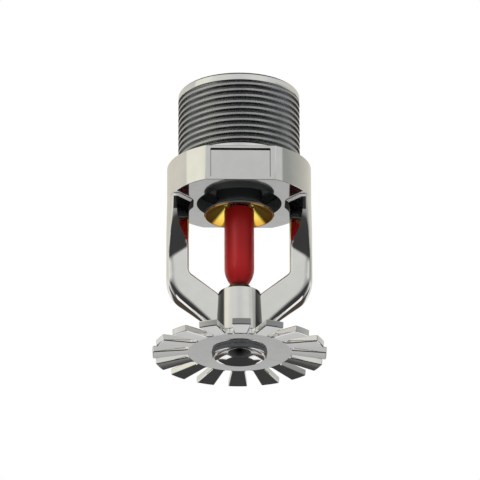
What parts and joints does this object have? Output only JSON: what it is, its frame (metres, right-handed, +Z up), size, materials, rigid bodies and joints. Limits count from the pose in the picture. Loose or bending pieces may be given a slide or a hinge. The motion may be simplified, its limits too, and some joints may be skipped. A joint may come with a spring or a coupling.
{
  "type": "fire sprinkler head",
  "caption": "Pendent fire sprinkler head: chrome frame with threaded inlet, wrench boss and arms, red glass bulb held by a screw under a gold cap, and a toothed deflector",
  "frame": {"origin": "on the axis at the shoulder where the inlet thread meets the wrench boss", "axes": "+Z up into the pipe, arms along X, wrench flats facing along Y, deflector below"},
  "size_m": [0.0302, 0.0302, 0.0491],
  "materials": {
    "chrome": "bright chrome plate over cast brass",
    "screw_brass": "plain turned brass",
    "bulb_glass": "clear glass, red from the liquid inside",
    "red_liquid": "dyed red liquid",
    "gold_brass": "polished gold-coloured brass",
    "steel": "plain spring steel",
    "seal_film": "dark sealing film"
  },
  "bodies": {
    "frame": {"frame": "chrome", "deflector": "chrome"},
    "load_train": {"bulb_glass": "bulb_glass", "bulb_liquid": "red_liquid", "pip_cap": "gold_brass", "pip_cap_insert": "steel", "belleville_spring": "steel", "upper_seal_film": "seal_film", "lower_seal_film": "seal_film"},
    "load_screw": {"load_screw": "screw_brass"}
  },
  "joints": [
    {"name": "train_slide", "type": "slide", "parent": "frame", "child": "load_train", "axis": [0, 0, -1], "range_m": [0, 0.002]},
    {"name": "screw_turn", "type": "hinge", "parent": "load_train", "child": "load_screw", "pos_m": [0, 0, -0.0259], "axis": [0, 0, -1], "range_deg": [0, 720]}
  ],
  "couplings": [
    {"joint": "screw_turn", "follows": "train_slide", "rad_per_m": 6283.2}
  ]
}
